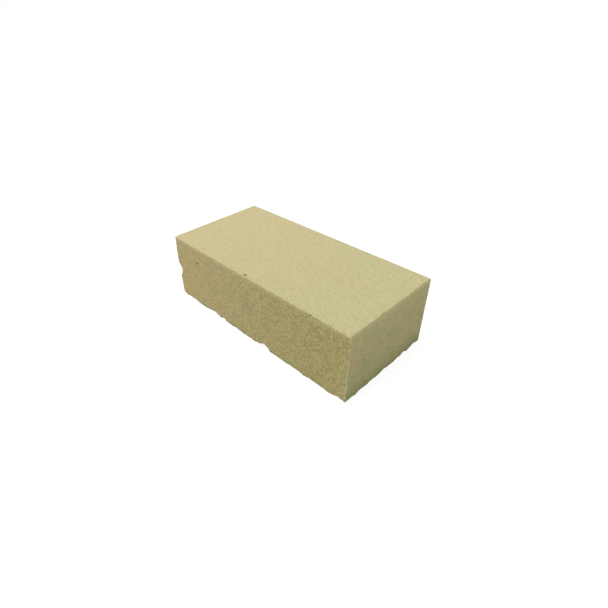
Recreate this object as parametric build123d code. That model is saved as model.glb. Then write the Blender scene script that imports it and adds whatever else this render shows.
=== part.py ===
from build123d import *
import os

# A dry floral foam brick: one block of rigid, open-celled foam, sawn from a larger slab.
# It is sold bare and works by its material alone: stems are pushed straight into it.
#
# Millimetres. The origin is the middle of the underside. X runs along the length,
# -Y is the front long face, +X is the right end and +Z is up.

LENGTH = 230.0
WIDTH = 110.0
HEIGHT = 70.0
RUBBED_EDGE = 0.8       # narrow bevel that handling leaves along the lower edges

RIGHT = LENGTH / 2
LEFT = -LENGTH / 2
FRONT = -WIDTH / 2
BACK = WIDTH / 2

# Foam this brittle crumbles where it is set down and picked up, so its lower edges are
# bitten away in shallow scoops. Each bite is (place along the edge, width, depth).
FRONT_LOWER_BITES = [(-112, 12, 1.6), (-96, 30, 2.0), (-60, 27, 2.6), (-43, 8, 2.8),
                     (13, 18, 2.2), (18.5, 12.5, 4.9), (81, 24, 1.2), (109, 17, 2.7)]
RIGHT_LOWER_BITES = [(-51, 20, 2.0), (-34, 13, 2.0), (-19, 16, 1.7), (-2, 13, 2.0),
                     (6, 8, 1.2), (20, 12, 1.5), (29, 9, 2.5), (45, 16, 2.1)]
BACK_LOWER_BITES = [(-90, 30, 2.4), (-52, 14, 1.6), (-22, 30, 1.8), (46, 17, 4.2), (94, 24, 2.2)]
LEFT_LOWER_BITES = [(-36, 26, 2.6), (-6, 14, 1.6), (18, 12, 1.8), (42, 18, 3.0)]

# The upright edge at the left of the front face is knocked in at three heights.
LEFT_UPRIGHT_BITES = [(0, 6, 1.8), (32, 15, 3.8), (69, 30, 1.6)]

# Burst bubbles lie open on the top face, close to the front edge, and two of them run together
# into one slot. Each is (x, gap to the edge, width, depth).
TOP_PITS = [(-5.8, 2.9, 2.0, 1.2), (-3.9, 2.9, 2.2, 1.3), (-72, 5.5, 1.6, 0.5)]


def bite(edge_point, outward, width, depth):
    """A ball that takes a scoop of this width and depth out of the edge at edge_point."""
    radius = (width**2 / 4 + depth**2) / (2 * depth)
    centre = Vector(*edge_point) + Vector(*outward).normalized() * (radius - depth)
    return Pos(centre) * Sphere(radius)


DOWN = (0, 0, -1)
UP = (0, 0, 1)
LEFT_AND_FORWARD = (-1, -0.5, 0)

scoops = [bite((x, FRONT, 0), DOWN, width, depth) for x, width, depth in FRONT_LOWER_BITES]
scoops += [bite((RIGHT, y, 0), DOWN, width, depth) for y, width, depth in RIGHT_LOWER_BITES]
scoops += [bite((x, BACK, 0), DOWN, width, depth) for x, width, depth in BACK_LOWER_BITES]
scoops += [bite((LEFT, y, 0), DOWN, width, depth) for y, width, depth in LEFT_LOWER_BITES]
scoops += [bite((LEFT, FRONT, z), LEFT_AND_FORWARD, width, depth)
           for z, width, depth in LEFT_UPRIGHT_BITES]
scoops += [bite((x, FRONT + gap, HEIGHT), UP, width, depth) for x, gap, width, depth in TOP_PITS]

block = Pos(0, 0, HEIGHT / 2) * Box(LENGTH, WIDTH, HEIGHT)
lower_edges = block.faces().sort_by(Axis.Z)[0].edges()
block = chamfer(lower_edges, RUBBED_EDGE)
for scoop in scoops:
    block = block - scoop
foam_block = block.solids().sort_by(SortBy.VOLUME)[-1]

os.makedirs("parts", exist_ok=True)
export_step(foam_block, "parts/foam_block.step")

size = foam_block.bounding_box().size
print(f"foam_block {size.X:.2f} x {size.Y:.2f} x {size.Z:.2f} mm, {foam_block.volume / 1000:.1f} cm3")
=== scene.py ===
# %% [markdown]
# # A dry floral foam brick
#
# A florist's brick is one block of rigid foam, sawn from a much larger slab and sold bare.
# There is nothing to assemble, so everything that makes it look real is in two places:
# the way its surface was cut and knocked about, and the way the foam itself takes light.
# This lesson makes the worn block with Geometry Nodes and its foam with shader nodes.

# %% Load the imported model
from math import pi, radians

import bpy
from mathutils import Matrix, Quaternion, Vector


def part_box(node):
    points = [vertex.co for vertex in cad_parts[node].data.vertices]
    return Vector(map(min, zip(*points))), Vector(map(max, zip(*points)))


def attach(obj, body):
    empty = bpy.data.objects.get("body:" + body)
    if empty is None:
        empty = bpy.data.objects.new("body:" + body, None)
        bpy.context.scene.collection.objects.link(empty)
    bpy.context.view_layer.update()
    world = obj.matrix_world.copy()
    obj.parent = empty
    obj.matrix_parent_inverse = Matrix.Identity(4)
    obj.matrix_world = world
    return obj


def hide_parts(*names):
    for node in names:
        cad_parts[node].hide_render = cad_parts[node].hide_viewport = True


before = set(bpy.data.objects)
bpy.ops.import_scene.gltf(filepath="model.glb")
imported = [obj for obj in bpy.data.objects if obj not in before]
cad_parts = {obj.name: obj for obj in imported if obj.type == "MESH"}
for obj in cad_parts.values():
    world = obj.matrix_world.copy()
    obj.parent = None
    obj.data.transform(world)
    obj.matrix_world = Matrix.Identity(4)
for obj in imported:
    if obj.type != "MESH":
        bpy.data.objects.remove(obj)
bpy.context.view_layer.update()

MM = 0.001
low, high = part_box("foam_block")
LENGTH, WIDTH, HEIGHT = high - low
print("brick, mm:", [round(side / MM, 1) for side in (LENGTH, WIDTH, HEIGHT)])

# %% [markdown]
# ## Arithmetic on sockets
#
# Geometry and shader trees both do their sums with Math nodes, and a page of links hides a
# simple formula. This class holds one socket. Adding or multiplying two of them makes the Math
# node, so a formula below reads as it would on paper. `node` makes any other kind of node.

# %% A socket with arithmetic
class Wire:
    """One socket of a node tree. With no socket it is only the tree, ready for a first node."""

    def __init__(self, tree, socket=None):
        self.tree = tree
        self.socket = socket

    def node(self, kind, settings=None, values=None, out=0):
        """Add a node, set it up, fill or link its inputs, and give its output `out`."""
        made = self.tree.nodes.new(kind)
        for name, value in (settings or {}).items():
            setattr(made, name, value)
        for place, value in (values or {}).items():
            if isinstance(value, Wire):
                self.tree.links.new(value.socket, made.inputs[place])
            else:
                made.inputs[place].default_value = value
        return Wire(self.tree, made.outputs[out])

    def math(self, operation, *others):
        numbers = dict(enumerate((self, *others)))
        return self.node("ShaderNodeMath", {"operation": operation}, numbers)

    def vector(self, operation, other, out=0):
        return self.node("ShaderNodeVectorMath", {"operation": operation}, {0: self, 1: other}, out)

    def scaled(self, amount):
        return self.node("ShaderNodeVectorMath", {"operation": "SCALE"}, {0: self, 3: amount})

    def smooth(self, start, end):
        """0 at start, 1 at end, and a soft ramp between."""
        values = {0: self, 1: start, 2: end}
        return self.node("ShaderNodeMapRange", {"interpolation_type": "SMOOTHSTEP"}, values)

    def stretched(self, spread):
        """Noise keeps near a half. This ramps it from 0 to 1 within `spread` of a half."""
        return self.smooth(0.5 - spread, 0.5 + spread)

    def towards(self, other, share):
        """This wire where share is 0, the other where it is 1."""
        return self + (other - self) * share

    def colours(self, at_zero, at_one):
        """The colour at_zero where this wire is 0, at_one where it is 1."""
        return self.node("ShaderNodeMix", {"data_type": "RGBA"}, {0: self, 6: at_zero, 7: at_one}, 2)

    def __add__(self, other):
        return self.math("ADD", other)

    def __sub__(self, other):
        return self.math("SUBTRACT", other)

    def __rsub__(self, other):
        return self.node("ShaderNodeMath", {"operation": "SUBTRACT"}, {0: other, 1: self})

    def __mul__(self, other):
        return self.math("MULTIPLY", other)

    def __truediv__(self, other):
        return self.math("DIVIDE", other)

    def __pow__(self, other):
        return self.math("POWER", other)

    def __abs__(self):
        return self.math("ABSOLUTE")

    __radd__ = __add__
    __rmul__ = __mul__


# %% [markdown]
# ## Places and patterns
#
# Every pattern below starts from a place on the block. Two kinds of noise are enough: clouds
# for what drifts, and packed cells for what is crumbly. Each takes a seed, which keeps
# patterns of one size from falling together and brings the brick out the same every time.

# %% Places and patterns
def split(vector):
    """The x, y and z of a vector, each on its own wire."""
    parts = vector.node("ShaderNodeSeparateXYZ", values={0: vector}).socket.node
    return [Wire(vector.tree, socket) for socket in parts.outputs]


def join(x, y, z):
    return x.node("ShaderNodeCombineXYZ", values={0: x, 1: y, 2: z})


def clouds(place, size, detail=2, seed=0.0, roughness=0.5):
    """Noise from 0 to 1 whose blotches are about this size, in metres."""
    values = {"Vector": place, "W": seed, "Scale": 1 / size, "Detail": detail, "Roughness": roughness}
    return place.node("ShaderNodeTexNoise", {"noise_dimensions": "4D"}, values)


def cells(place, size, seed):
    """Packed cells about this size, in metres: 0 at the middle of each, rising to its wall."""
    values = {"Vector": place, "W": seed, "Scale": 1 / size}
    return place.node("ShaderNodeTexVoronoi", {"voronoi_dimensions": "4D"}, values, "Distance")


# %% [markdown]
# ## The sawn block
#
# The shape follows a rule: a box, its edges rubbed, bites taken out of them, and a grain on
# each face. It could be sculpted by hand, but a rule is exact and can be changed later, so it
# is a Geometry Nodes tree. It starts as a box with a grid on it, fine enough to carry the
# grain. The grid lines crowd together near the edges, because that is where foam breaks and
# where its outline is seen.

# %% Trees and the grid box
CROWDING = 0.42          # 0 spaces the grid evenly, 1 would close it up at the edges


def new_tree(name, inputs):
    """A geometry tree with these named inputs, and a wire for each of them."""
    tree = bpy.data.node_groups.new(name, "GeometryNodeTree")
    for label, kind in inputs.items():
        tree.interface.new_socket(label, in_out="INPUT", socket_type="NodeSocket" + kind)
    tree.interface.new_socket("Geometry", in_out="OUTPUT", socket_type="NodeSocketGeometry")
    entry = tree.nodes.new("NodeGroupInput")
    return tree, {label: Wire(tree, entry.outputs[label]) for label in inputs}


def close_tree(geometry):
    end = geometry.tree.nodes.new("NodeGroupOutput")
    geometry.tree.links.new(geometry.socket, end.inputs[0])


def point(geometry):
    """Where each point is now."""
    return geometry.node("GeometryNodeInputPosition")


def grid_box(size, counts):
    """A closed box of small faces round the origin, crowded towards its edges."""
    values = {0: size, 1: counts[0], 2: counts[1], 3: counts[2]}
    box = size.node("GeometryNodeMeshCube", values=values)
    crowded = []
    for along, side in zip(split(point(box)), split(size)):
        share = along / (side / 2)
        bent = (share * (pi / 2)).math("SINE")
        crowded.append((share * (1 - CROWDING) + bent * CROWDING) * (side / 2))
    return box.node("GeometryNodeSetPosition", values={0: box, "Position": join(*crowded)})


print("at an edge the grid is", round(1 - CROWDING, 2), "of an even grid's step")

# %% [markdown]
# ## Rubbed edges
#
# Brittle foam never keeps a knife edge. Every edge is cut back to a narrow, uneven slope. Most
# have hardly any. The lower edges have more, and so have the near right corner's upright and
# the right end's top edge, by which the brick was carried. Where a point's distances to the
# two faces of an edge add up to less than the width of the slope, it moves in by half the
# shortfall each way. Noise varies that width, which makes the edge ragged. The carried edge's
# extra width fades out towards its far corner.

# %% Rubbing the edges
RAGGED_LONG = 8 * MM      # size of the slow changes along an edge
RAGGED_SHORT = 3 * MM     # size of the small nicks
RUB_LEAST, RUB_SLOW, RUB_NICKS = 0.15, 1.2, 0.5     # shares of the slope's set width
CORNER_KEPT = 14 * MM     # length over which that extra width fades


def raggedness(place, seed):
    """How many times its set width the slope has at this place."""
    slow = clouds(place, RAGGED_LONG, detail=2, seed=seed).stretched(0.25)
    nicks = clouds(place, RAGGED_SHORT, detail=1, seed=seed).stretched(0.2)
    return slow * RUB_SLOW + nicks * RUB_NICKS + RUB_LEAST


def slope_widths(here, gap, rub):
    """The set width of the slope on uprights, on long edges and on the ends' edges."""
    on_right = here[0].math("GREATER_THAN", 0)
    in_front = here[1].math("LESS_THAN", 0)
    underneath = here[2].math("LESS_THAN", 0)
    far_corner = (1 - in_front) * (1 - gap[1].smooth(0, CORNER_KEPT))
    upright = rub["Edge Rub"].towards(rub["Near Upright Rub"], on_right * in_front)
    long_edge = rub["Edge Rub"].towards(rub["Lower Rub"], underneath)
    end_edge = rub["Edge Rub"].towards(rub["Right End Rub"], on_right * (1 - far_corner))
    return upright, long_edge, end_edge.towards(rub["Lower Rub"], underneath)


def rub_edges(geometry, size, rub, seed):
    """Slope every edge. `rub` gives the slope's width on each kind of edge."""
    place = point(geometry)
    here = split(place)
    gap = [side / 2 - abs(along) for side, along in zip(split(size), here)]
    uneven = raggedness(place, seed)
    upright, long_edge, end_edge = slope_widths(here, gap, rub)
    inward = [0, 0, 0]
    for (first, second), width in {(0, 1): upright, (1, 2): long_edge, (0, 2): end_edge}.items():
        shortfall = ((width * uneven - gap[first] - gap[second]) / 2).math("MAXIMUM", 0)
        inward[first] = shortfall + inward[first]
        inward[second] = shortfall + inward[second]
    moved = [along - along.math("SIGN") * step for along, step in zip(here, inward)]
    return geometry.node("GeometryNodeSetPosition", values={0: geometry, "Position": join(*moved)})


print("a slope is up to", round(RUB_LEAST + RUB_SLOW + RUB_NICKS, 2), "times its set width")

# %% [markdown]
# ## Bites out of the edges
#
# A knock takes out a scoop. Each is the part of a ball that reaches into the block, with the
# ball's radius worked out from how wide and deep the bite is. Points inside the ball slide
# along one direction, straight in from the edge, until they reach its far side. That keeps
# them evenly spread over the hollow, where pushing them away from the ball's middle would pile
# them up on its rim. One small tree does a single bite, and the block uses it many times.

# %% One bite
BITE_RAGGED = 6 * MM      # size of the lumps that make a bite's outline uneven


def bite_tree():
    tree, given = new_tree("foam_bite", {
        "Geometry": "Geometry", "Edge Point": "Vector", "Outward": "Vector", "Way In": "Vector",
        "Width": "Float", "Depth": "Float", "Unevenness": "Float", "Seed": "Float"})
    width, depth = given["Width"], given["Depth"]
    radius = (width * width / 4 + depth * depth) / (depth * 2)
    centre = given["Edge Point"].vector("ADD", given["Outward"].scaled(radius - depth))
    place = point(given["Geometry"])
    lumps = clouds(place, BITE_RAGGED, detail=1, seed=given["Seed"]) - 0.5
    reach = radius + lumps * depth * given["Unevenness"]
    from_centre = place.vector("SUBTRACT", centre)
    way_in = given["Way In"].vector("NORMALIZE", (0, 0, 0))
    ahead = from_centre.vector("DOT_PRODUCT", way_in, out=1)
    within = reach * reach - from_centre.vector("DOT_PRODUCT", from_centre, out=1)
    step = (ahead * ahead + within).math("MAXIMUM", 0).math("SQRT") - ahead
    step = step * within.math("GREATER_THAN", 0)
    values = {0: given["Geometry"], "Offset": way_in.scaled(step)}
    close_tree(given["Geometry"].node("GeometryNodeSetPosition", values=values))
    return tree


foam_bite = bite_tree()
print("bite tree:", len(foam_bite.nodes), "nodes")

# %% [markdown]
# ## Where the bites are
#
# The lists give each bite's place along its edge, its width and its depth, in millimetres.
# The block stands on its lower edges, so they have most of them. One upright edge has a notch
# where it was knocked. A few bubbles in the foam lie open on the top, as (x, y, width, depth),
# and on the front, as (x, z, width, depth). Two of them on the top run together into a slot.

# %% The bites
RIGHT, BACK, TOP = LENGTH / 2 / MM, WIDTH / 2 / MM, HEIGHT / 2 / MM
FRONT_LOWER = [(-112, 12, 1.6), (-96, 30, 2.0), (-60, 27, 2.6), (-43, 8, 2.8),
               (13, 18, 2.2), (18.5, 12.5, 4.9), (81, 24, 1.2), (109, 17, 2.7)]
RIGHT_LOWER = [(-51, 20, 2.0), (-34, 13, 2.0), (-19, 16, 1.7), (-2, 13, 2.0),
               (6, 8, 1.2), (20, 12, 1.5), (29, 9, 2.5), (45, 16, 2.1)]
BACK_LOWER = [(-90, 30, 2.4), (-52, 14, 1.6), (-22, 30, 1.8), (46, 17, 4.2), (94, 24, 2.2)]
LEFT_LOWER = [(-36, 26, 2.6), (-6, 14, 1.6), (18, 12, 1.8), (42, 18, 3.0)]
LEFT_UPRIGHT = [(0, 6, 1.8), (32, 15, 3.8), (69, 30, 1.6)]
TOP_BUBBLES = [(-5.8, -52.1, 2.0, 1.2), (-3.9, -52.1, 2.2, 1.3), (-72, -49.5, 1.6, 0.5)]
FRONT_BUBBLES = [(-79, 52.5, 2.4, 1.2), (-76, 44.5, 2.0, 0.7), (25, 33, 2.0, 0.7),
                 (57, 69, 1.8, 0.4), (75, 69, 2.2, 0.6)]
UP, DOWN, FORWARD, BACKWARD = (0, 0, 1), (0, 0, -1), (0, -1, 0), (0, 1, 0)
KNOCKED = Vector((-1, -0.5, 0)).normalized()     # the way out of the knocked upright


def all_bites():
    """(edge point, outward, way in, width, depth) of every bite, round the block's middle, in mm."""
    made = [((x, -BACK, -TOP), DOWN, (0, 1, 1), w, d) for x, w, d in FRONT_LOWER]
    made += [((RIGHT, y, -TOP), DOWN, (-1, 0, 1), w, d) for y, w, d in RIGHT_LOWER]
    made += [((x, BACK, -TOP), DOWN, (0, -1, 1), w, d) for x, w, d in BACK_LOWER]
    made += [((-RIGHT, y, -TOP), DOWN, (1, 0, 1), w, d) for y, w, d in LEFT_LOWER]
    made += [((-RIGHT, -BACK, z - TOP), KNOCKED, (1, 1, 0), w, d) for z, w, d in LEFT_UPRIGHT]
    made += [((x, y, TOP), UP, DOWN, w, d) for x, y, w, d in TOP_BUBBLES]
    made += [((x, -BACK, z - TOP), FORWARD, BACKWARD, w, d) for x, z, w, d in FRONT_BUBBLES]
    return made


def take_bites(geometry, seed, unevenness):
    for number, (edge, outward, way_in, width, depth) in enumerate(all_bites()):
        values = {"Geometry": geometry, "Edge Point": [at * MM for at in edge], "Outward": outward,
                  "Way In": way_in, "Width": width * MM, "Depth": depth * MM,
                  "Unevenness": unevenness, "Seed": seed + number}
        geometry = geometry.node("GeometryNodeGroup", {"node_tree": foam_bite}, values)
    return geometry


print("bites:", len(all_bites()))

# %% [markdown]
# ## The grain of each face
#
# The top is the smooth outside of the slab. The long sides were sawn and are coarse, with
# faint upright tooth marks, and the ends were cut more cleanly. Broken foam is coarser still.
# So each point gets a coarseness, from the way it faces and from how far wear has moved it,
# and sinks along its normal by a noise that the coarseness scales. Coarseness and wear are
# stored on the mesh, because the material needs them again.

# %% Graining the faces
COARSE_TOP, COARSE_END, COARSE_SIDE, COARSE_UNDER, COARSE_BROKEN = 0.16, 0.45, 1.0, 0.8, 0.9
FULLY_BROKEN = 2.5 * MM   # a point that wear has moved this far is broken foam
LUMP, TOOTH_MARK = 3.2 * MM, 3.6 * MM
TOOTH_TALLNESS = 10       # a tooth mark is this many times as tall as it is wide
TOOTH_SHARE = 0.3         # of the grain's depth, the rest being lumps


def store(geometry, name, value):
    return geometry.node("GeometryNodeStoreNamedAttribute", {"data_type": "FLOAT"},
                         {"Geometry": geometry, "Name": name, "Value": value})


def mark_wear(geometry, sawn_place):
    """Store how far each point has worn, and how coarse that and its facing make it."""
    x, y, z = split(geometry.node("GeometryNodeInputNormal"))
    up, under = z.math("MAXIMUM", 0), z.math("MINIMUM", 0)
    coarse = x * x * COARSE_END + y * y * COARSE_SIDE + up * up * COARSE_TOP + under * under * COARSE_UNDER
    moved = point(geometry).vector("DISTANCE", sawn_place, out=1)
    worn = (moved / FULLY_BROKEN).math("MINIMUM", 1)
    geometry = store(geometry, "coarse", coarse.math("MAXIMUM", worn * COARSE_BROKEN))
    return store(geometry, "worn", worn)


def roughen(geometry, depth, seed):
    place = point(geometry)
    lumps = clouds(place, LUMP, detail=3, seed=seed, roughness=0.6).stretched(0.2)
    upright = place.vector("MULTIPLY", (1, 1, 1 / TOOTH_TALLNESS))
    marks = clouds(upright, TOOTH_MARK, detail=1, seed=seed).stretched(0.2)
    coarse = geometry.node("GeometryNodeInputNamedAttribute", values={"Name": "coarse"})
    sunk = (lumps * (1 - TOOTH_SHARE) + marks * TOOTH_SHARE) * coarse * depth
    inward = geometry.node("GeometryNodeInputNormal").scaled(sunk * -1)
    return geometry.node("GeometryNodeSetPosition", values={0: geometry, "Offset": inward})


print("coarseness of top, ends and sides:", COARSE_TOP, COARSE_END, COARSE_SIDE)

# %% [markdown]
# ## The whole block
#
# The tree joins those steps in the order that the real brick met them: sawn, rubbed, knocked,
# and with its grain left open. Its inputs are the sizes that somebody might want to change.
# Capturing each point's place on the fresh box lets the later steps tell how far it has worn.

# %% The block's tree
def block_tree():
    tree, given = new_tree("foam_brick", {
        "Size": "Vector", "Points Along": "Int", "Points Across": "Int", "Points Up": "Int",
        "Edge Rub": "Float", "Lower Rub": "Float",
        "Near Upright Rub": "Float", "Right End Rub": "Float",
        "Bite Unevenness": "Float", "Grain Depth": "Float", "Seed": "Float", "Foam": "Material"})
    counts = [given["Points Along"], given["Points Across"], given["Points Up"]]
    sawn = grid_box(given["Size"], counts)
    capture = tree.nodes.new("GeometryNodeCaptureAttribute")
    capture.capture_items.new("VECTOR", "Sawn Place")
    tree.links.new(sawn.socket, capture.inputs[0])
    tree.links.new(point(sawn).socket, capture.inputs[1])
    sawn, sawn_place = Wire(tree, capture.outputs[0]), Wire(tree, capture.outputs[1])
    block = rub_edges(sawn, given["Size"], given, given["Seed"])
    block = take_bites(block, given["Seed"], given["Bite Unevenness"])
    block = mark_wear(block, sawn_place)
    block = roughen(block, given["Grain Depth"], given["Seed"])
    lift = given["Size"].vector("MULTIPLY", (0, 0, 0.5))
    block = block.node("GeometryNodeSetPosition", values={0: block, "Offset": lift})
    block = block.node("GeometryNodeSetShadeSmooth", values={0: block})
    block = block.node("GeometryNodeRealizeInstances", values={0: block})
    values = {"Geometry": block, "Material": given["Foam"]}
    close_tree(block.node("GeometryNodeSetMaterial", values=values))
    return tree


foam_brick_tree = block_tree()
print("block tree:", len(foam_brick_tree.nodes), "nodes")

# %% [markdown]
# ## The foam's colours
#
# Dry foam is a mass of tiny burst cells. It is quite matt, tan with a little olive in it, and
# blotched by the way the slab was poured. A flat colour would look like plastic, so the colour
# is mixed from many, each for one thing that shows on the brick. They are linear values.

# %% The foam's colours
TAN = (0.568, 0.484, 0.266, 1)
OLIVE = (0.468, 0.458, 0.252, 1)
ROSY = (0.560, 0.468, 0.282, 1)
SAWN = (0.482, 0.374, 0.178, 1)
SAWN_OLIVE = (0.432, 0.396, 0.179, 1)
# the sawn sides' colour at the right, darkened by painted shade
SAWN_SHADED = (0.362, 0.314, 0.115, 1)
# the ends' two colours are the cut end's own tone, darkened partly by painted shade
END_CUT_SHADED = (0.410, 0.346, 0.182, 1)
END_OLIVE_SHADED = (0.326, 0.328, 0.132, 1)
# pale dust, also used as a painted highlight on the rubbed uprights
DUST_AND_HIGHLIGHT = (0.600, 0.530, 0.300, 1)
OPEN_CELL = (0.250, 0.200, 0.080, 1)
# the colour of the painted shade inside open bubbles
BUBBLE_SHADE_COLOUR = (0.120, 0.095, 0.036, 1)
# painted shade for the foot, darker and greener towards the table
FOOT_SHADE = (0.134, 0.166, 0.064, 1)
print("tan, as red, green, blue:", TAN[:3])

# %% [markdown]
# ## Painted shade inside the bubbles
#
# A burst bubble's hollow lies in shade. Light alone hardly shows that shade in so small a hollow, so
# painted shade, a dark ball, is put half-way down each one, from the same lists that cut them.

# %% Bubble shade
BUBBLE_RIM = 0.08         # the dark fades out this far each side of the rim, in widths
FULL_SHADE_DEPTH = 1.2           # bubbles this deep, in mm, are quite dark inside


def bubble_shade(place):
    """How much painted shade: 1 inside a deep open bubble, less in a shallow one, 0 elsewhere."""
    inside = [(x, y, 2 * TOP - depth / 2, width, depth) for x, y, width, depth in TOP_BUBBLES]
    inside += [(x, depth / 2 - BACK, z, width, depth) for x, z, width, depth in FRONT_BUBBLES]
    shade = 0
    for *middle, width, depth in inside:
        away = place.vector("DISTANCE", [at * MM for at in middle], out=1)
        opening = 1 - away.smooth(width * (0.5 - BUBBLE_RIM) * MM, width * (0.5 + BUBBLE_RIM) * MM)
        shade = opening * min(depth / FULL_SHADE_DEPTH, 1) + shade
    return shade


print("bubbles:", len(TOP_BUBBLES) + len(FRONT_BUBBLES))

# %% [markdown]
# ## The saw's marks
#
# A round blade leaves arcs, all about its own axle. The arcs here are noise read in polar
# terms: fast across the radius and slow along the arc. They show in one band only, about the
# middle of the front and back.

# %% Saw marks
AXLE_X, BAND_IN, BAND_OUT = 90 * MM, 84 * MM, 112 * MM
FADE_IN, FADE_OUT = 8 * MM, 10 * MM
ARC_GAP, ARC_LENGTH = 2.4 * MM, 24 * MM


def saw_marks(place):
    """Dark arcs and the pale ones between them, round an axle level with the table."""
    x, y, z = split(place)
    across = x - AXLE_X
    radius = (across * across + z * z).math("SQRT")
    spun = join(radius / ARC_GAP, y / ARC_LENGTH, z / ARC_LENGTH)
    band = radius.smooth(BAND_IN, BAND_IN + FADE_IN) * (1 - radius.smooth(BAND_OUT - FADE_OUT, BAND_OUT))
    arcs = clouds(spun, size=1, detail=1, seed=11.0)
    return arcs.smooth(0.48, 0.68) * band, (1 - arcs.smooth(0.32, 0.52)) * band


print("saw band, mm:", round((BAND_OUT - BAND_IN) / MM))

# %% [markdown]
# ## Blotches and painted shade
#
# The long sides are painted darker to the right, and the whole block a little more olive there, as painted
# shade where the light falls off. The ends are more olive, in broad patches, and darker, partly from
# painted shade. Over all of it the hue drifts a little from blotch to blotch, warmer or greener and
# yellower or greyer, with hardly any change in brightness.

# %% Blotches and painted shade
OLIVE_BLOTCH, ROSY_BLOTCH, END_PATCH, HUE_BLOTCH = 5 * MM, 4 * MM, 11 * MM, 7 * MM
ROSY_MOST, RIGHT_SHADE_MOST = 0.6, 0.55                    # the most that each takes over
WARM_DRIFT, GREY_DRIFT = 0.09, 0.13
DRIFT_LEAST = 0.4                                   # the share of the drift on smooth foam


def blotches(place, shade_to_right, ends, coarse):
    """The foam's colour before its crumbs and cells."""
    olive = clouds(place, OLIVE_BLOTCH, detail=4, seed=3.0, roughness=0.65).stretched(0.12)
    olive = olive.towards(shade_to_right, 0.5)
    rosy = clouds(place, ROSY_BLOTCH, detail=3, seed=8.0, roughness=0.6).smooth(0.48, 0.66)
    skin = (rosy * ROSY_MOST).colours(olive.colours(TAN, OLIVE), ROSY)
    # painted shade: the sawn sides grow darker towards the right
    sawn = (shade_to_right * RIGHT_SHADE_MOST).colours(olive.colours(SAWN, SAWN_OLIVE), SAWN_SHADED)
    patches = clouds(place, END_PATCH, detail=3, seed=12.0).stretched(0.1).towards(olive, 0.5)
    return ends.colours(coarse.colours(skin, sawn), patches.colours(END_CUT_SHADED, END_OLIVE_SHADED))


def hue_drift(colour, place, coarse):
    """The colour with its red and its blue let wander, each in its own blotches."""
    amount = DRIFT_LEAST + coarse * (1 - DRIFT_LEAST)
    warm = clouds(place, HUE_BLOTCH, detail=2, seed=21.0).stretched(0.2) - 0.5
    grey = clouds(place, HUE_BLOTCH, detail=2, seed=22.0).stretched(0.2) - 0.5
    warm, grey = warm * amount * WARM_DRIFT, grey * amount * GREY_DRIFT
    return colour.vector("MULTIPLY", join(1 + warm, 1 - warm / 6, 1 + grey))


print("hue blotches, mm:", round(HUE_BLOTCH / MM))

# %% [markdown]
# ## Crumbs and cells
#
# Close up, sawn foam is crumbs a couple of millimetres across, with dark seams between them and burst
# cells in them. Voronoi noise gives both. Stirring the place first, with a little noise, stops the crumbs
# from looking like tiles. Pale grains, partly dust and partly painted glints where crumbs catch the light,
# are scattered over all of it, more of them where the foam is coarse.

# %% Crumbs and cells
CRUMB, PORE, SPECKLE, GLINT_AND_DUST_GRAIN = 2.1 * MM, 0.95 * MM, 0.9 * MM, 1.8 * MM
STIR = 0.9 * MM
SEAM_LEAST, SEAM_COARSE, SEAM_RIGHT_SHADE = 0.16, 0.40, 0.44    # dark of the seams, and what adds to it
PORE_LEAST, PORE_COARSE = 0.15, 0.30
GLINT_AND_DUST_LEAST, GLINT_AND_DUST_COARSE = 0.15, 0.15


def foam_cells(place):
    """Crumbs rising to their walls, the dark seams there, open pores, and fine speckle."""
    noise = place.node("ShaderNodeTexNoise", values={"Vector": place, "Scale": 1 / CRUMB}, out="Color")
    crumbs = cells(place.vector("ADD", noise.scaled(STIR)), CRUMB, seed=1.0)
    speckle = clouds(place, SPECKLE, detail=2, seed=5.0).stretched(0.15)
    seams = crumbs.smooth(0.40, 0.75) * speckle
    pores = 1 - cells(place, PORE, seed=2.0).smooth(0.12, 0.36)
    return crumbs, seams, pores, speckle


def crumbly(colour, place, shade_to_right, coarse, seams, pores):
    """The colour broken up by dark seams and pores, and by pale grains of dust and painted glints."""
    # the seams also darken towards the right, as painted shade
    seam_dark = SEAM_LEAST + coarse * (SEAM_COARSE + shade_to_right * SEAM_RIGHT_SHADE)
    colour = (seam_dark * seams).colours(colour, OPEN_CELL)
    colour = ((PORE_LEAST + coarse * PORE_COARSE) * pores).colours(colour, OPEN_CELL)
    glints_and_dust = clouds(place, GLINT_AND_DUST_GRAIN, detail=3, seed=6.0).smooth(0.48, 0.70)
    return (glints_and_dust * (GLINT_AND_DUST_LEAST + coarse * GLINT_AND_DUST_COARSE)).colours(colour, DUST_AND_HIGHLIGHT)


print("crumbs and pores, mm:", round(CRUMB / MM, 2), round(PORE / MM, 2))

# %% [markdown]
# ## Dust, painted highlight and painted foot shade
#
# Dust, with a painted highlight, lies on the rubbed uprights, and dust lies just under the top. Painted
# shade darkens the foot, much higher on the ends than on the sides. Both are masks from where a point is
# and how it faces.

# %% Dust, highlight and foot shade
UPRIGHT_DUST_AND_HIGHLIGHT, TOP_DUST, END_DUST = 0.45, 0.35, 0.18
DUST_BAND = 5 * MM        # dust from the top lies this far down the sides
SIDE_FOOT_SHADE, END_FOOT_SHADE, FOOT_SHADE_BLOTCH = 5 * MM, 27 * MM, 7 * MM
FOOT_SHADE_LEAST, FOOT_SHADE_STRENGTH, FOOT_SHADE_MOST = 0.4, 0.8, 0.85


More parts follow.
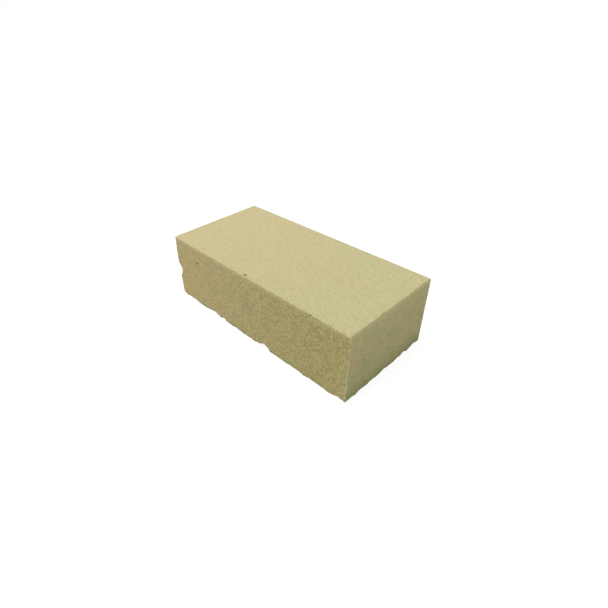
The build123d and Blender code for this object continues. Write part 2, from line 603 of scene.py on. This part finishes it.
def dusted_and_highlit(colour, z, facing, worn, ends):
    on_upright = (abs(facing[0]) * abs(facing[1]) * 2).smooth(0.15, 0.7)
    # dust and a painted highlight along the rubbed uprights
    colour = (on_upright * worn.smooth(0.03, 0.2) * UPRIGHT_DUST_AND_HIGHLIGHT).colours(colour, DUST_AND_HIGHLIGHT)
    from_top = z.smooth(HEIGHT - DUST_BAND, HEIGHT) * TOP_DUST
    on_end = ends * z.smooth(HEIGHT / 2, HEIGHT) * END_DUST
    return ((from_top + on_end) * (1 - facing[2].math("MAXIMUM", 0))).colours(colour, DUST_AND_HIGHLIGHT)


# Painted shade: the foot is made darker and greener towards the table, where shade falls.
def shade_the_foot(colour, place, z, ends):
    shade_top = SIDE_FOOT_SHADE + ends * (END_FOOT_SHADE - SIDE_FOOT_SHADE)
    shade_share = (1 - z / shade_top).math("MAXIMUM", 0) ** 2
    shade_share = shade_share * (FOOT_SHADE_LEAST + clouds(place, FOOT_SHADE_BLOTCH, detail=2, seed=9.0)) * FOOT_SHADE_STRENGTH
    return shade_share.math("MINIMUM", FOOT_SHADE_MOST).colours(colour, FOOT_SHADE)


print("painted foot shade on sides and ends, mm:", round(SIDE_FOOT_SHADE / MM), round(END_FOOT_SHADE / MM))

# %% [markdown]
# ## The foam material
#
# The finish puts those layers on one another, from the foam out to the bubbles. The relief is
# too fine for the mesh, so a Bump node adds it, with its heights in millimetres. It comes from
# the same crumbs and cells as the colour, so each dark seam is also a low one.

# %% The foam material
SIDE_ON, END_ON = 0.6, 0.9      # facing along X, where an end's look begins and where it is full
ARC_DARK, ARC_PALE, ARC_DEPTH = 0.26, 0.16, 0.25
BUBBLE_SHADE = 0.9
CRUMB_DEPTH, SEAM_DEPTH, PORE_DEPTH, COARSE_PORE_DEPTH = 0.5, 0.2, 0.08, 0.10
FUZZ, FUZZ_HEIGHT = 0.5 * MM, 0.12
MATT, SPECKLE_SHINE, SPECULAR = 0.97, 0.06, 0.25


def foam():
    material = bpy.data.materials.new("dry_foam")
    material.use_nodes = True
    tree = material.node_tree
    surface = tree.nodes["Principled BSDF"]
    start = Wire(tree)
    place = start.node("ShaderNodeTexCoord", out="Object")
    facing = split(start.node("ShaderNodeNewGeometry", out="Normal"))
    coarse = start.node("ShaderNodeAttribute", {"attribute_name": "coarse"}, out="Fac")
    worn = start.node("ShaderNodeAttribute", {"attribute_name": "worn"}, out="Fac")
    x, _, z = split(place)
    # painted shade: the block grows darker and more olive towards the right, where the light falls off
    shade_to_right = x.smooth(-LENGTH / 2, LENGTH / 2)
    ends = abs(facing[0]).smooth(SIDE_ON, END_ON)
    crumbs, seams, pores, speckle = foam_cells(place)
    dark_arcs, pale_arcs = [arcs * abs(facing[1]) for arcs in saw_marks(place)]

    colour = blotches(place, shade_to_right, ends, coarse)
    colour = crumbly(colour, place, shade_to_right, coarse, seams, pores)
    colour = hue_drift(colour, place, coarse)
    colour = (dark_arcs * ARC_DARK).colours(colour, OPEN_CELL)
    colour = (pale_arcs * ARC_PALE).colours(colour, DUST_AND_HIGHLIGHT)
    # dust, with a painted highlight on the uprights
    colour = dusted_and_highlit(colour, z, facing, worn, ends)
    # painted shade at the foot
    colour = shade_the_foot(colour, place, z, ends)
    # painted shade in the open bubbles
    colour = (bubble_shade(place) * BUBBLE_SHADE).colours(colour, BUBBLE_SHADE_COLOUR)

    depth = pores * (PORE_DEPTH + coarse * COARSE_PORE_DEPTH) + dark_arcs * ARC_DEPTH
    depth = depth + (crumbs * CRUMB_DEPTH + seams * SEAM_DEPTH) * coarse
    height = clouds(place, FUZZ, detail=2, seed=2.0) * FUZZ_HEIGHT - depth
    relief = start.node("ShaderNodeBump", values={"Distance": MM, "Height": height})
    roughness = MATT - speckle * SPECKLE_SHINE
    for name, wire in {"Base Color": colour, "Normal": relief, "Roughness": roughness}.items():
        tree.links.new(wire.socket, surface.inputs[name])
    surface.inputs["Specular IOR Level"].default_value = SPECULAR
    return material


dry_foam = foam()
print("foam material:", len(dry_foam.node_tree.nodes), "nodes")

# %% [markdown]
# ## Making the block
#
# A modifier runs the tree. Its inputs are set before it is first evaluated, and by each
# socket's identifier, because two sockets may share a name. The result is then kept as a
# plain mesh and the modifier is dropped, so that nothing is left to work out later.

# %% Running a tree
def plain_mesh(name, tree, inputs):
    """Run a geometry tree with these inputs and keep what it makes as a mesh object."""
    made = bpy.data.objects.new(name, bpy.data.meshes.new(name))
    bpy.context.scene.collection.objects.link(made)
    modifier = made.modifiers.new(name, "NODES")
    modifier.node_group = tree
    for socket in tree.interface.items_tree:
        if socket.in_out == "INPUT":
            modifier[socket.identifier] = inputs[socket.name]
    ready = made.evaluated_get(bpy.context.evaluated_depsgraph_get())
    mesh = bpy.data.meshes.new_from_object(ready)
    made.modifiers.clear()
    made.data = mesh
    mesh.name = name
    return made


# %% Make the block
GRID_STEP = 1.02 * MM
counts = [int(side / GRID_STEP) + 1 for side in (LENGTH, WIDTH, HEIGHT)]
brick = plain_mesh("foam_brick", foam_brick_tree, {
    "Size": (LENGTH, WIDTH, HEIGHT),
    "Points Along": counts[0], "Points Across": counts[1], "Points Up": counts[2],
    "Edge Rub": 0.35 * MM, "Lower Rub": 0.8 * MM,
    "Near Upright Rub": 1.2 * MM, "Right End Rub": 0.95 * MM,
    "Bite Unevenness": 0.7, "Grain Depth": 0.35 * MM, "Seed": 4.0, "Foam": dry_foam})
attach(brick, "root")
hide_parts("foam_block")
print("brick:", 2 * len(brick.data.polygons), "triangles")

# %% [markdown]
# ## The table
#
# A plain white table keeps attention on the foam. It is really a grey one that glows. The glow
# makes it look white and lights the brick's sides from below, and its shadows stay faint.

# %% The table
TABLE_SIDE = 60.0
TABLE_GREY = (0.22, 0.22, 0.22, 1)
WHITE = (1, 1, 1, 1)
TABLE_GLOW = 0.85


def glowing_paint():
    paint = bpy.data.materials.new("table_paint")
    paint.use_nodes = True
    surface = paint.node_tree.nodes["Principled BSDF"].inputs
    surface["Base Color"].default_value = TABLE_GREY
    surface["Roughness"].default_value = 1.0
    surface["Specular IOR Level"].default_value = 0.0
    surface["Emission Color"].default_value = WHITE
    surface["Emission Strength"].default_value = TABLE_GLOW
    return paint


def plain_table():
    half = TABLE_SIDE / 2
    mesh = bpy.data.meshes.new("table")
    corners = [(-half, -half, 0), (half, -half, 0), (half, half, 0), (-half, half, 0)]
    mesh.from_pydata(corners, [], [(0, 1, 2, 3)])
    mesh.materials.append(glowing_paint())
    table = bpy.data.objects.new("table", mesh)
    bpy.context.scene.collection.objects.link(table)


plain_table()
print("table, m:", TABLE_SIDE)

# %% [markdown]
# ## The light
#
# Most of the light is one broad lamp overhead, a little to the left, so the top is brightest,
# the front is next, and the right end falls away into soft shade. A dim white room fills in
# the rest. Its walls look brighter than the light they give, so that in a low view they are
# as white as the table.

# %% The light
OVERHEAD_FROM = Vector((-0.30, -0.14, 1.0))
OVERHEAD_POWER = 2.55
OVERHEAD_BREADTH = radians(70)
ROOM_GLOW = 0.45          # how brightly the white room lights the brick
ROOM_SEEN = 1.0           # how bright its walls look

lamp = bpy.data.lights.new("overhead", "SUN")
lamp.energy, lamp.angle = OVERHEAD_POWER, OVERHEAD_BREADTH
overhead = bpy.data.objects.new("overhead", lamp)
overhead.rotation_euler = OVERHEAD_FROM.to_track_quat("Z", "Y").to_euler()
bpy.context.scene.collection.objects.link(overhead)

world = bpy.data.worlds.new("white_room")
world.use_nodes = True
seen = Wire(world.node_tree).node("ShaderNodeLightPath", out="Is Camera Ray")
walls = world.node_tree.nodes["Background"]
walls.inputs["Color"].default_value = WHITE
strength = seen * (ROOM_SEEN - ROOM_GLOW) + ROOM_GLOW
world.node_tree.links.new(strength.socket, walls.inputs["Strength"])
bpy.context.scene.world = world
bpy.context.scene.view_settings.view_transform = "Standard"
print("light from overhead and from the room:", OVERHEAD_POWER, ROOM_GLOW)

# %% [markdown]
# ## The camera
#
# It looks down on the front right corner from close by with a wide lens, so the far end
# shrinks strongly, and it is tipped a little to one side.

# %% The camera
LENS, SENSOR = 25.28, 36.0                       # mm
SIDEWAYS_SHIFT = 0.0362
NEAREST = 10 * MM
EYE_AT = Vector((0.2499, -0.2486, 0.2693))
LOOKING = Vector((-0.5895, 0.5552, -0.5867))
TIPPED = radians(-1.51)

eye = bpy.data.cameras.new("camera")
eye.lens, eye.sensor_width = LENS, SENSOR
eye.shift_x = SIDEWAYS_SHIFT
eye.clip_start = NEAREST
camera = bpy.data.objects.new("camera", eye)
camera.location = EYE_AT
camera.rotation_mode = "QUATERNION"
camera.rotation_quaternion = LOOKING.to_track_quat("-Z", "Y") @ Quaternion((0, 0, 1), TIPPED)
bpy.context.scene.collection.objects.link(camera)
bpy.context.scene.camera = camera
print("camera, mm from the origin:", round(EYE_AT.length / MM))
